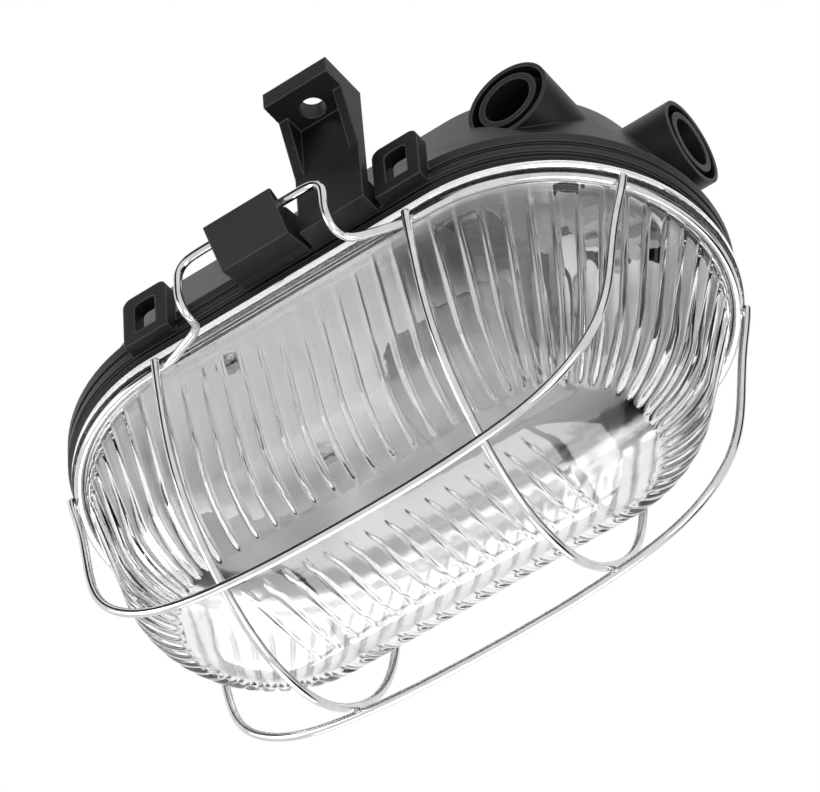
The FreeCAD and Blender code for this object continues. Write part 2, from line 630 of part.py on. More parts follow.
def quarter_ring(sk, run):
    """Quarter of the ring wire from its end round to the foot of the bail."""
    c, r, b = S.ring_centre, S.ring_radius, S.root_bend
    z = Vector(0, 0, 1)
    lean = math.atan2(S.bail_root_y.v - r.v, S.ring_straight_end.v - S.bail_x.v)
    bend = b.v * 3
    kink = Vector(S.ring_straight_end.v - bend * math.sin(lean), r.v + bend * (1 - math.cos(lean)), 0)
    root = Vector(S.bail_x.v + b.v * (1 - math.sin(lean)), S.bail_root_y.v, 0)
    last = Vector(S.bail_x.v, root.y + b.v * math.cos(lean), 0)
    g = sk.addGeometry([
        Part.ArcOfCircle(Part.Circle(Vector(c.v, 0, 0), z, r.v), 0, math.pi / 2),
        Part.LineSegment(Vector(c.v, r.v, 0), Vector(S.ring_straight_end.v, r.v, 0)),
        Part.ArcOfCircle(Part.Circle(Vector(S.ring_straight_end.v, r.v + bend, 0), z, bend),
                         -math.pi / 2 - lean, -math.pi / 2),
        Part.LineSegment(kink, root),
        Part.ArcOfCircle(Part.Circle(Vector(last.x + b.v, last.y, 0), z, b.v), math.pi, 1.5 * math.pi - lean),
        Part.LineSegment(last, Vector(S.bail_x.v, run.v, 0))], False)
    joints = [(0, 2, 1, 1), (1, 2, 2, 2), (2, 1, 3, 1), (3, 2, 4, 2), (4, 1, 5, 1)]
    for one, p, two, q in joints:
        sk.addConstraint(Sketcher.Constraint("Tangent", g[one], p, g[two], q))
    pin(sk, g[0], 1, c + r, 0)
    pin(sk, g[0], 3, c, 0)
    sk.addConstraint(Sketcher.Constraint("Horizontal", g[1]))
    hold(sk, "DistanceX", -1, 1, g[1], 2, S.ring_straight_end)
    hold(sk, "Radius", g[2], b * 3)
    hold(sk, "Radius", g[4], b)
    hold(sk, "DistanceY", -1, 1, g[3], 2, S.bail_root_y)
    sk.addConstraint(Sketcher.Constraint("Vertical", g[5]))
    pin(sk, g[5], 2, S.bail_x, run)


def weld_pitch():
    """Distance between the centres of two wires where they cross and are welded."""
    return S.wire_radius * 2 - S.weld_bite


def wire_top():
    """Level of the wires' blunt ends, just under the front of the glass flange."""
    return S.rim_bottom + S.gasket_thick + S.glass_gap + S.flange_thick + S.wire_end_gap


def leg_ends(ring_cross, inset, leg_level):
    """Lower and upper end of a leg that leans past the ring wire at `ring_cross`."""
    top = wire_top()
    reach = ring_cross + inset * (S.ring_level - top) / (leg_level - top)
    return (reach - inset, leg_level), (reach, top)


def guard_hoops():
    """Two hoops bent over the glass, across the light."""
    leg, top = leg_ends(S.ring_radius + weld_pitch(), S.hoop_leg_inset, S.hoop_leg_level)
    for name, x in (("guard_hoop_right", S.hoop_x), ("guard_hoop_left", -S.hoop_x)):
        body = new_body(name)
        section = new_sketch(body, "XZ")
        circle(section, x, -S.hoop_bottom, S.wire_radius)
        path = new_sketch(body, "YZ", x)
        wire_path(path, S.hoop_bottom, None, (S.hoop_knee_y, S.hoop_knee_level), S.hoop_knee_radius, leg, top,
                  [(S.hoop_flat_radius, S.hoop_slope)])
        pipe(body, section, path)
        mirror(body, "XZ")


def guard_wires():
    """Two long wires welded outside the hoops' knees, along the light."""
    slant = weld_pitch() * 0.7071
    across, bottom = S.hoop_knee_y + slant, S.hoop_knee_level + slant
    round_end = S.ring_radius + weld_pitch()
    cross = S.ring_centre + Size(math.sqrt(round_end.v ** 2 - across.v ** 2),
                                 "sqrt((%s) ^ 2 - (%s) ^ 2)" % (round_end.t, across.t))
    leg, top = leg_ends(cross, S.long_leg_inset, S.long_leg_level)
    knee = (leg[0] - S.long_knee_inset, S.long_knee_level)
    for name, y in (("guard_wire_front", -across), ("guard_wire_back", across)):
        body = new_body(name)
        section = new_sketch(body, "YZ")
        circle(section, y, -bottom, S.wire_radius)
        path = new_sketch(body, "XZ", -y)
        wire_path(path, bottom, S.hoop_x, knee, S.long_knee_radius, leg, top,
                  [(S.long_flat_radius, S.long_rise), (S.long_bend_radius, S.long_slope)])
        pipe(body, section, path)
        mirror(body, "YZ")


def reflector():
    """Thin bright tray over the pan floor, its rim flared towards the glass."""
    body = new_body("reflector")
    for kind, wall in (("AdditiveLoft", size(0)), ("SubtractiveLoft", S.tray_thick)):
        floor = new_sketch(body, "XY", -S.tray_level - wall)
        stadium(floor, S.half_straight, S.tray_floor_radius - wall)
        lip = new_sketch(body, "XY", -S.tray_lip_level)
        stadium(lip, S.half_straight, S.tray_lip_radius - wall)
        loft(body, kind, floor, lip)
    holes = new_sketch(body, "XY", -S.tray_level)
    for sx in (1, -1):
        for sy in (1, -1):
            circle(holes, S.boss_x * sx, S.boss_y * sy, S.screw_radius + 0.15)
    middle = S.block_x + S.block_length / 2
    circle(holes, middle, 0, S.terminal_bore)
    for side in (1, -1):
        circle(holes, middle, S.block_width * side * 0.85, S.cable_bore * 0.6)
    extrude(body, "Pocket", holes, S.tray_thick * 2)


def screw_pair(name, places, seat):
    """Slotted pan-head screws driven up towards the ceiling, heads against the level `seat`."""
    body = new_body(name)
    heads = new_sketch(body, "XY", seat)
    for x, y in places:
        circle(heads, x, y, S.screw_head_radius)
    extrude(body, "Pad", heads, S.screw_head, reverse=True)
    shanks = new_sketch(body, "XY", seat)
    for x, y in places:
        circle(shanks, x, y, S.screw_radius)
    extrude(body, "Pad", shanks, S.screw_length)
    slots = new_sketch(body, "XY", seat - S.screw_head)
    for x, y in places:
        box_outline(slots, x - S.screw_head_radius - 0.2, x + S.screw_head_radius + 0.2,
                    y - S.screw_slot / 2, y + S.screw_slot / 2)
    extrude(body, "Pocket", slots, S.screw_slot, reverse=True)


def lampholder():
    """Porcelain lampholder lying along the light, its mouth away from the cable entries."""
    body = new_body("lampholder_body")
    level, r = -S.lamp_level, S.holder_radius
    front, back, step = S.holder_mouth, S.holder_back, S.holder_step
    half = new_sketch(body, "XZ")
    outline(half, [(front, level + S.holder_bore), (front + S.holder_bore_depth, level + S.holder_bore),
                   (front + S.holder_bore_depth, level), (back, level), (back, level + r - 1.5),
                   (back - 1.5, level + r), (front + S.holder_collar, level + r),
                   (front + S.holder_collar - step, level + r - step), (front + 1.2, level + r - step),
                   (front, level + r - step - 1.2)])
    spin(body, "Revolution", half, axis_line(half, level, front, back), 360)
    terminals = new_sketch(body, "YZ", back)
    for side in (1, -1):
        circle(terminals, S.sleeve_y * side, level - S.lead_drop, S.lead_radius + 0.1)
        circle(terminals, 0, level + S.screw_gap / 2 * side, S.screw_radius + 0.05)
    extrude(body, "Pocket", terminals, 8)

    shell = new_body("lampholder_shell")
    out, pitch = S.shell_radius, S.shell_pitch
    half = new_sketch(shell, "XZ")
    outer, inner = [], []
    for turn in range(5):
        x = front + 3.0 + pitch * turn
        outer += [(x, level + out - 0.8), (x + pitch / 2, level + out)]
        inner += [(x, level + out - 1.2), (x + pitch / 2, level + out - 0.4)]
    outline(half, outer + inner[::-1])
    spin(shell, "Revolution", half, axis_line(half, level, front, back), 360)

    contact = new_body("lampholder_contact")
    leaf = new_sketch(contact, "XZ")
    floor = front + S.holder_bore_depth
    outline(leaf, [(floor, level - 9), (floor, level - 2), (floor - 5, level + 4), (floor - 5.6, level + 3.8),
                   (floor - 0.6, level - 2.4), (floor - 0.6, level - 9)])
    extrude(contact, "Pad", leaf, 6, both=True)


def axis_line(sk, level, start, end):
    line = sk.addGeometry(Part.LineSegment(Vector(start.v, level.v, 0), Vector(end.v, level.v, 0)), True)
    pin(sk, line, 1, start, level)
    pin(sk, line, 2, end, level)
    return (sk, ["Axis0"])


def bracket():
    """Pressed steel bracket: a wide foot screwed through the tray and an upright behind the holder."""
    body = new_body("lampholder_bracket")
    floor = -S.tray_level - S.tray_thick
    foot = new_sketch(body, "XY", floor)
    x0, x1 = S.holder_back - S.bracket_foot, S.holder_back + S.bracket_thick
    box_outline(foot, x0, x1, -S.bracket_span, S.bracket_span)
    extrude(body, "Pad", foot, S.bracket_thick, reverse=True)
    upright = new_sketch(body, "YZ", S.holder_back)
    box_outline(upright, S.bracket_width / -2, S.bracket_width / 2, -S.lamp_level - 7, floor)
    extrude(body, "Pad", upright, S.bracket_thick)
    holes = new_sketch(body, "XY", floor)
    for side in (1, -1):
        circle(holes, S.boss_x, S.boss_y * side, S.screw_radius + 0.15)
    extrude(body, "Pocket", holes, S.bracket_thick)
    slots = new_sketch(body, "YZ", S.holder_back + S.bracket_thick)
    for side in (1, -1):
        circle(slots, 0, -S.lamp_level + S.screw_gap / 2 * side, S.screw_radius + 0.15)
    extrude(body, "Pocket", slots, S.bracket_thick)

    screws = new_body("holder_screws")
    seat = S.holder_back + S.bracket_thick
    steps = [(S.screw_head_radius - 0.7, seat, S.screw_head), (S.screw_radius, seat - 7, size(7))]
    for r, start, long in steps:
        sk = new_sketch(screws, "YZ", start)
        for side in (1, -1):
            circle(sk, 0, -S.lamp_level + S.screw_gap / 2 * side, r)
        extrude(screws, "Pad", sk, long)


def terminals():
    """Two-way terminal block on the tray with its sleeves, clamping screws and fixing screw."""
    block = new_body("terminal_block")
    seat = -S.tray_level - S.tray_thick
    x0, x1 = S.block_x, S.block_x + S.block_length
    half, low = S.block_width / 2, seat - S.block_height
    middle = seat - S.block_height * 0.45
    sk = new_sketch(block, "YZ", x0)
    outline(sk, [(-half, seat), (-half, seat - 8), (-half + 2, low), (-2.7, low), (-2.5, seat - 8),
                 (2.5, seat - 8), (2.7, low), (half - 2, low), (half, seat - 8), (half, seat)])
    extrude(block, "Pad", sk, S.block_length)
    bores = new_sketch(block, "YZ", x1)
    for side in (1, -1):
        circle(bores, S.sleeve_y * side, middle, S.terminal_radius)
    extrude(block, "Pocket", bores, S.block_length)
    down = new_sketch(block, "XY", low)
    for side in (1, -1):
        for x in (x0 + 4, x1 - 4):
            circle(down, x, S.sleeve_y * side, S.terminal_bore + 0.2)
    extrude(block, "Pocket", down, S.block_height * 0.55, reverse=True)
    fixing = new_sketch(block, "XY", seat - 8)
    circle(fixing, (x0 + x1) / 2, 0, S.terminal_bore)
    extrude(block, "Pocket", fixing, 8, reverse=True)

    sleeves = new_body("terminal_sleeves")
    sk = new_sketch(sleeves, "YZ", x0 + 1)
    for side in (1, -1):
        circle(sk, S.sleeve_y * side, middle, S.terminal_radius - 0.05)
        circle(sk, S.sleeve_y * side, middle, S.lead_radius + 0.1)
    extrude(sleeves, "Pad", sk, S.block_length - 2)

    screws = new_body("terminal_screws")
    sk = new_sketch(screws, "XY", low + 1.5)
    for side in (1, -1):
        for x in (x0 + 4, x1 - 4):
            circle(sk, x, S.sleeve_y * side, S.terminal_bore)
    extrude(screws, "Pad", sk, middle - S.terminal_radius - low - 1.5)

    fix = new_body("terminal_fixing_screw")
    centre = (x0 + x1) / 2
    steps = [(S.terminal_bore + 0.7, seat - 10, size(2)), (S.terminal_bore - 0.1, seat - 8, size(11))]
    for r, start, long in steps:
        sk = new_sketch(fix, "XY", start)
        circle(sk, centre, 0, r)
        extrude(fix, "Pad", sk, long)
    slot = new_sketch(fix, "XY", seat - 10)
    box_outline(slot, centre - 3, centre + 3, -0.4, 0.4)
    extrude(fix, "Pocket", slot, S.screw_slot, reverse=True)

    riser, drop, bend = (S.holder_back + S.block_x) / 2, -S.lamp_level - S.lead_drop, S.lead_bend
    for name, y in (("lead_live", S.sleeve_y), ("lead_neutral", -S.sleeve_y)):
        lead = new_body(name)
        start = new_sketch(lead, "YZ", S.holder_back - 6)
        circle(start, y, drop, S.lead_radius)
        path = new_sketch(lead, "XZ", -y)
        outline(path, [(S.holder_back - 6, drop), (riser - bend, drop, bend), (riser, drop + bend),
                       (riser, middle - bend, -bend), (riser + bend, middle), (x0 + 7, middle)], closed=False)
        pipe(lead, start, path)


def main_screws():
    """Screws of the bracket and of the free end of the tray, driven into the four pan bosses."""
    floor = -S.tray_level - S.tray_thick
    screw_pair("bracket_screws", [(S.boss_x, S.boss_y), (S.boss_x, -S.boss_y)], floor - S.bracket_thick)
    screw_pair("reflector_screws", [(-S.boss_x, S.boss_y), (-S.boss_x, -S.boss_y)], floor)


MAKERS = (base_housing, rim_gasket, glass_cover, guard_ring, guard_hoops, guard_wires, reflector, main_screws,
          lampholder, bracket, terminals)
for make in MAKERS:
    make()
doc.recompute()
for thing in doc.Objects:
    if "Invalid" in thing.State or "Error" in thing.State:
        raise RuntimeError("failed: " + thing.Name)
for body in NODES:
    if body.Shape.isNull() or not body.Shape.isValid():
        raise RuntimeError("bad shape: " + body.Label)
os.makedirs("parts", exist_ok=True)
for body in NODES:
    body.Shape.exportStep(os.path.join("parts", body.Label + ".step"))
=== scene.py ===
import bmesh
import bpy
import numpy as np
from mathutils import Matrix


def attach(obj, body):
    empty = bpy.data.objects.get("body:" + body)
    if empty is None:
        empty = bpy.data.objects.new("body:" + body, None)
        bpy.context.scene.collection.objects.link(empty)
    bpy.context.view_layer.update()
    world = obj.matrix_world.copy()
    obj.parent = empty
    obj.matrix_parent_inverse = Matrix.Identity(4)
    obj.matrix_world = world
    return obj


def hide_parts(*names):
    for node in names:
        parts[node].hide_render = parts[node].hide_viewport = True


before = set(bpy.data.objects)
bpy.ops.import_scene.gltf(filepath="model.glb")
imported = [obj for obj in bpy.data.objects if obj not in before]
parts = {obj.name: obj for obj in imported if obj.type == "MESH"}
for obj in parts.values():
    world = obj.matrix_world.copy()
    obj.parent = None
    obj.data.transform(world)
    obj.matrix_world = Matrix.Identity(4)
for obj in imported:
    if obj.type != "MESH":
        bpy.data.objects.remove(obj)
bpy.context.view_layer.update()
scene = bpy.context.scene
scene.view_settings.view_transform = "Standard"

# Camera. The light hangs from a ceiling and is seen from below, in front and a little to the right,
# through a long lens, so the far side is hardly smaller than the near one.
long_lens = bpy.data.cameras.new("long_lens")
long_lens.lens = 205.003
long_lens.sensor_width = 36.0
long_lens.clip_start = 0.05
long_lens.clip_end = 30.0
camera = bpy.data.objects.new("camera", long_lens)
camera.matrix_world = Matrix((
    (0.808603, 0.466733, 0.358220, 0.50163),
    (0.584700, -0.569707, -0.577547, -0.80345),
    (-0.065479, 0.676457, -0.733565, -1.07551),
    (0.0, 0.0, 0.0, 1.0)))
scene.collection.objects.link(camera)
scene.camera = camera


# Studio. A white surround that the camera, the metal and the glass see, softer for the matt surfaces,
# two softboxes, and a pale floor far below the light.
def add(tree, kind, values=None, **settings):
    """Adds one node to a tree: `values` fills its inputs, and `settings` its own properties."""
    node = tree.nodes.new(kind)
    for name, value in settings.items():
        setattr(node, name, value)
    for name, value in (values or {}).items():
        if isinstance(value, bpy.types.NodeSocket):
            tree.links.new(value, node.inputs[name])
        else:
            node.inputs[name].default_value = value
    return node


def colour(code, alpha=1.0):
    """Linear colour of an sRGB hex code: c / 12.92 below 0.04045, else ((c + 0.055) / 1.055) ** 2.4."""
    channels = np.array([int(code[i:i + 2], 16) for i in (1, 3, 5)]) / 255
    curved = np.where(channels <= 0.04045, channels / 12.92, ((channels + 0.055) / 1.055) ** 2.4)
    return (*curved.tolist(), alpha)


def facing(way):
    """Three directions of length 1, square to each other: a level one, a rising one and `way` itself."""
    way = np.array(way, float) / np.linalg.norm(way)
    level = np.cross((0.0, 0.0, 1.0), way)
    level /= np.linalg.norm(level)
    return level, np.cross(way, level), way


surround = bpy.data.worlds.new("white_surround")
scene.world = surround
surround.use_nodes = True
sky = surround.node_tree
sky.nodes.clear()
ray = add(sky, "ShaderNodeLightPath")
seen = add(sky, "ShaderNodeMath", {0: ray.outputs["Is Camera Ray"], 1: ray.outputs["Is Glossy Ray"]},
           operation="MAXIMUM")
seen = add(sky, "ShaderNodeMath", {0: seen.outputs[0], 1: ray.outputs["Is Transmission Ray"]},
           operation="MAXIMUM")
soft = add(sky, "ShaderNodeBackground", {"Color": colour("#ffffff"), "Strength": 0.5})
white = add(sky, "ShaderNodeBackground", {"Color": colour("#ffffff"), "Strength": 1.0})
both = add(sky, "ShaderNodeMixShader", {0: seen.outputs[0], 1: soft.outputs[0], 2: white.outputs[0]})
add(sky, "ShaderNodeOutputWorld", {"Surface": both.outputs[0]})


def softbox(name, place, width, height, power):
    """Rectangular lamp at `place` in metres, turned so that its face looks at the middle of the light."""
    lamp = bpy.data.lights.new(name, "AREA")
    lamp.shape = "RECTANGLE"
    lamp.size, lamp.size_y, lamp.energy = width, height, power
    holder = bpy.data.objects.new(name, lamp)
    axes = np.array(facing(np.subtract(place, (0.0, 0.0, -0.06)))).T
    holder.matrix_world = Matrix([(*row, p) for row, p in zip(axes, place)] + [(0, 0, 0, 1)])
    holder.visible_camera = False
    scene.collection.objects.link(holder)


softbox("softbox_left", (-1.3, -0.9, -0.3), 1.0, 1.2, 11.0)
softbox("softbox_below", (0.9, -0.4, -1.5), 1.0, 1.0, 12.0)


def empty_finish(name):
    """A new material and its node tree, with nothing in it."""
    finish = bpy.data.materials.new(name)
    finish.use_nodes = True
    finish.node_tree.nodes.clear()
    return finish, finish.node_tree


def card(name, corners, code, glow):
    """Flat sheet through its corners: matt for lamps, four fifths its own light for the camera, and an
    even tone for the rays that metal and glass send out: `glow` times white where they reflect, at most
    white through glass."""
    mesh = bpy.data.meshes.new(name)
    mesh.from_pydata(corners, [], [tuple(range(len(corners)))])
    sheet = bpy.data.objects.new(name, mesh)
    scene.collection.objects.link(sheet)
    finish, t = empty_finish(name)
    matt = add(t, "ShaderNodeBsdfDiffuse", {"Color": colour(code)})
    ray = add(t, "ShaderNodeLightPath")
    bent = {0: ray.outputs["Is Glossy Ray"], 1: ray.outputs["Is Transmission Ray"]}
    mirrored = add(t, "ShaderNodeMath", bent, operation="SUBTRACT", use_clamp=True)
    tone = add(t, "ShaderNodeMapRange", {"Value": mirrored.outputs[0], "To Min": min(glow, 1.0),
                                         "To Max": glow})
    even = add(t, "ShaderNodeEmission", {"Color": colour("#ffffff"), "Strength": tone.outputs[0]})
    sent = add(t, "ShaderNodeMath", bent, operation="MAXIMUM")
    seen = add(t, "ShaderNodeMath", {0: ray.outputs["Is Camera Ray"], 1: 0.8}, operation="MULTIPLY")
    share = add(t, "ShaderNodeMath", {0: sent.outputs[0], 1: seen.outputs[0]}, operation="MAXIMUM")
    both = add(t, "ShaderNodeMixShader", {0: share.outputs[0], 1: matt.outputs[0], 2: even.outputs[0]})
    add(t, "ShaderNodeOutputMaterial", {"Surface": both.outputs[0]})
    mesh.materials.append(finish)
    return sheet


# The floor is so wide that no view shows its edge, in metres.
FLOOR_REACH, FLOOR_LEVEL = 40, -2.6
floor_corners = [(x * FLOOR_REACH, y * FLOOR_REACH, FLOOR_LEVEL) for x, y in ((-1, -1), (1, -1), (1, 1), (-1, 1))]
card("floor", floor_corners, "#ececec", 1.0)


def flag(name, way, distance, width, height, code, glow):
    """Card that only metal and glass see, square to the direction `way`, in metres.  A black one draws
    the dark edge lines on bright wire, and a bright one is the softbox that the flat front mirrors."""
    level, rise, way = facing(way)
    corners = [way * distance + level * a * width / 2 + rise * b * height / 2
               for a, b in ((-1, -1), (1, -1), (1, 1), (-1, 1))]
    sheet = card(name, [tuple(corner) for corner in corners], code, glow)
    sheet.visible_camera = sheet.visible_diffuse = sheet.visible_shadow = False


flag("flag_front", (-0.36, -0.78, 0.4), 1.6, 1.1, 1.9, "#101010", 0.03)
flag("flag_right", (0.8, 0.35, 0.4), 1.6, 1.1, 1.4, "#101010", 0.03)
flag("flag_back", (0.42, 0.65, -0.62), 1.9, 0.9, 1.2, "#101010", 0.03)
flag("mirrored_softbox", (-0.38, 0.56, -0.74), 1.6, 0.95, 1.15, "#ffffff", 7.0)


# Base housing. One moulding of matt black plastic: pan, stepped rim, spouts, feet, hooks and lugs.
# The mould's fine grain shows, with slow flow marks, and a painted highlight makes the arrises greyer than the
# faces.
def moulded_black():
    """Charcoal plastic: flow marks 22 mm long vary tone and gloss, a grain 0.4 mm wide is the bump, and
    the angle between the face's own normal and one averaged over 0.7 mm finds the arrises, which get a painted
    highlight."""
    finish, t = empty_finish("moulded_black")
    place = add(t, "ShaderNodeTexCoord").outputs["Object"]
    grain = add(t, "ShaderNodeTexNoise", {"Vector": place, "Scale": 2600.0, "Detail": 3.0, "Roughness": 0.6})
    flow = add(t, "ShaderNodeTexNoise", {"Vector": place, "Scale": 45.0, "Detail": 3.0, "Distortion": 1.2})
    rounded = add(t, "ShaderNodeBevel", {"Radius": 0.0007}, samples=6)
    flat = add(t, "ShaderNodeNewGeometry")
    bend = add(t, "ShaderNodeVectorMath", {0: rounded.outputs[0], 1: flat.outputs["Normal"]},
               operation="DOT_PRODUCT")
    arris = add(t, "ShaderNodeMapRange", {"Value": bend.outputs["Value"], "From Min": 0.995,
                                          "From Max": 0.80, "To Min": 0.0, "To Max": 1.0})
    tone = add(t, "ShaderNodeValToRGB", {"Fac": flow.outputs["Fac"]})
    for stop, code, at in zip(tone.color_ramp.elements, ("#0e0e0f", "#191a1b"), (0.3, 0.7)):
        stop.color, stop.position = colour(code), at
    # Painted highlight: the arrises are lightened towards #565758.
    painted_arris_highlight = add(t, "ShaderNodeMix", {0: arris.outputs[0], 6: tone.outputs[0], 7: colour("#565758")},
                 data_type="RGBA")
    rough = add(t, "ShaderNodeMapRange", {"Value": flow.outputs["Fac"], "To Min": 0.40, "To Max": 0.56})
    bump = add(t, "ShaderNodeBump", {"Height": grain.outputs["Fac"], "Distance": 0.00004, "Strength": 0.5,
                                     "Normal": rounded.outputs[0]})
    body = add(t, "ShaderNodeBsdfPrincipled", {"Base Color": painted_arris_highlight.outputs[2], "Roughness": rough.outputs[0],
                                               "Normal": bump.outputs[0], "Specular IOR Level": 0.36})
    add(t, "ShaderNodeOutputMaterial", {"Surface": body.outputs[0]})
    return finish


def dress(name, finish):
    """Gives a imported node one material."""
    parts[name].data.materials.clear()
    parts[name].data.materials.append(finish)


dress("base_housing", moulded_black())


# Rim gasket. Flat die-cut rubber, dull black, pressed between the rim and the glass.
# It lies on the rim and is held by the glass alone.
def seal_rubber():
    """Black rubber, very rough: dust in spots 1.1 mm wide, coarser than real dust so that it shows."""
    finish, t = empty_finish("seal_rubber")
    place = add(t, "ShaderNodeTexCoord").outputs["Object"]
    dust = add(t, "ShaderNodeTexNoise", {"Vector": place, "Scale": 900.0, "Detail": 4.0})
    tone = add(t, "ShaderNodeValToRGB", {"Fac": dust.outputs["Fac"]})
    for stop, code in zip(tone.color_ramp.elements, ("#0c0c0c", "#1b1b1b")):
        stop.color = colour(code)
    bump = add(t, "ShaderNodeBump", {"Height": dust.outputs["Fac"], "Distance": 0.0001, "Strength": 0.4})
    body = add(t, "ShaderNodeBsdfPrincipled", {"Base Color": tone.outputs[0], "Roughness": 0.82,
                                               "Normal": bump.outputs[0]})
    add(t, "ShaderNodeOutputMaterial", {"Surface": body.outputs[0]})
    return finish


dress("rim_gasket", seal_rubber())


# Glass cover. One thick pressing of clear glass: flange with two beads, a knurled strip and a groove,
# then the dome with its rounded ribs.  It is held against the gasket by the guard alone, and lies
# a little towards the cable entries in its seat.
GLASS_PLAY = 1.2                         # mm that it lies towards the entries
HALF_STRAIGHT = 50.0                     # mm from the middle to the centre of each round end
SIDE_RIBS = np.arange(15) * 7.0 - 49.0   # middles of the ribs along a straight side, in mm
END_PITCH = 7.5                          # degrees between the ribs of a round end
RIB_HEIGHT, RIB_REACH = 1.2, 1.2         # mm: full height of a side rib, and from its middle to its edge
FRONT_HEIGHT, FRONT_REACH = 0.32, 1.15   # mm: the same for a front rib
FOOT_LEVEL = -58.5                       # mm: where the flange ends and the dome starts


def oval_columns():
    """Directions round the oval.  Each column has the centre of its arc (x) and a heading.
    Columns crowd at each rib: offsets from the rib's middle in mm, or 1.05 times that in degrees."""
    offsets = np.array([-1.6, -1.1, -0.75, -0.4, 0.0, 0.4, 0.75, 1.1, 1.6, 3.5])
    row = (SIDE_RIBS[:, None] + offsets).ravel()
    row = row[np.abs(row) < HALF_STRAIGHT - 0.1]
    row = np.sort(np.append(row, (-HALF_STRAIGHT, HALF_STRAIGHT)))
    turn = (np.arange(-12, 13)[:, None] * END_PITCH + offsets * 1.05).ravel()
    turn = np.sort(turn[np.abs(turn) < 89.4])
    right = np.column_stack((np.full(turn.size, HALF_STRAIGHT), turn))
    back = np.column_stack((row[::-1], np.full(row.size, 90.0)))
    left = np.column_stack((np.full(turn.size, -HALF_STRAIGHT), turn + 180.0))
    front = np.column_stack((row, np.full(row.size, 270.0)))
    return np.vstack((right, back, left, front))


def arc(centre, radius, start, end, count):
    """Points (r, z) on a circle from one angle to another, in degrees, the last one left out."""
    a = np.radians(np.linspace(start, end, count, endpoint=False))
    return np.column_stack((centre[0] + radius * np.cos(a), centre[1] + radius * np.sin(a)))


def run(first, last, count):
    """Evenly spaced points from first towards last, the last one left out."""
    return np.linspace(first, last, count, endpoint=False)


def glass_section():
    """Closed section of the glass as (distance from the axis, level) in mm: from the seat inside the
    rim over the flange and down the dome to its middle, and from there back up the inner face."""
    outer = [run((53.0, -53.3), (59.5, -53.3), 3), arc((59.5, -53.7), 0.4, 90, 0, 3),
             run((59.9, -53.7), (59.9, -56.0), 3), arc((59.4, -56.0), 0.5, 0, -90, 4),
             run((59.4, -56.5), (57.9, -56.5), 5), run((57.9, -56.5), (57.55, -56.15), 2),
             run((57.55, -56.15), (57.2, -56.15), 2), run((57.2, -56.15), (57.0, -56.6), 2),
             arc((56.5, -56.9), 0.5, 0, -120, 4), run((56.15, -57.6), (56.0, FOOT_LEVEL), 2),
             run((56.0, FOOT_LEVEL), (46.6, -93.2), 13), arc((12.85, -84.1), 35.0, -15.08, -90, 34),
             np.array([(12.85, -119.1), (11.0, -119.1), (8.0, -119.1), (4.0, -119.1), (0.0, -119.1)])]
    inner = [np.array([(0.0, -116.1), (5.0, -116.1), (9.5, -116.1)]),
             arc((12.85, -84.1), 32.0, -90, -15.08, 18),
             run((43.7, -92.42), (53.0, FOOT_LEVEL), 6), run((53.0, FOOT_LEVEL), (53.0, -53.3), 2)]
    return np.vstack(outer), np.vstack(inner)


def rib_height(x, y, r, z, along):
    """Height in mm of the ribs at grid points.  A rib is a raised cosine across.  A side rib grows from
    nothing at the foot to its full height 36 mm down the dome, and stops short 30 mm from the axis.
    A front rib runs across the flat front between the straight sides."""
    beyond = np.abs(x) - HALF_STRAIGHT
    bearing = np.degrees(np.arctan2(y, np.maximum(beyond, 1e-9)))
    nearest_turn = np.clip(np.round(bearing / END_PITCH), -11, 11) * END_PITCH
    off_end_rib = np.where(beyond > 0, r * np.sin(np.radians(bearing - nearest_turn)), 99.0)
    off_straight_rib = np.abs(x[..., None] - SIDE_RIBS).min(-1)
    off = np.minimum(np.abs(off_end_rib), off_straight_rib)
    grow = np.clip(along / 36.0, 0.0, 1.0) ** 0.8
    stop = np.clip((r - 29.5) / 2.6, 0.0, 1.0)
    stop = stop * stop * (3 - 2 * stop)
    side_rib = RIB_HEIGHT * grow * stop * (0.5 + 0.5 * np.cos(np.pi * np.clip(off / RIB_REACH, 0, 1)))
    fade = np.clip((18.2 - np.abs(y)) / 3.4, 0.0, 1.0)
    ridge = 0.5 + 0.5 * np.cos(np.pi * np.clip(off_straight_rib / FRONT_REACH, 0, 1))
    front_rib = FRONT_HEIGHT * fade * ridge * (z < -110) * (np.abs(x) <= HALF_STRAIGHT)
    return np.maximum(side_rib, front_rib)


def grid_faces(rows, wide, rows_wrap=False):
    """Quads of a grid whose columns wrap round: (i, j), (i, j + 1), (i + 1, j + 1), (i + 1, j).
    Where the rows wrap too, the last row is joined to the first."""
    i, j = np.meshgrid(np.arange(rows if rows_wrap else rows - 1), np.arange(wide), indexing="ij")
    i2, j2 = (i + 1) % rows, (j + 1) % wide
    return np.stack((i * wide + j, i * wide + j2, i2 * wide + j2, i2 * wide + j), -1).reshape(-1, 4)


def face_outwards(mesh, merge=0.0):
    """Turns every face of a closed mesh outwards, after points closer than `merge` metres are joined."""
    work = bmesh.new()
    work.from_mesh(mesh)
    if merge:
        bmesh.ops.remove_doubles(work, verts=work.verts, dist=merge)
        bmesh.ops.dissolve_degenerate(work, edges=work.edges, dist=merge / 2)
    bmesh.ops.recalc_face_normals(work, faces=work.faces)
    work.to_mesh(mesh)
    work.free()


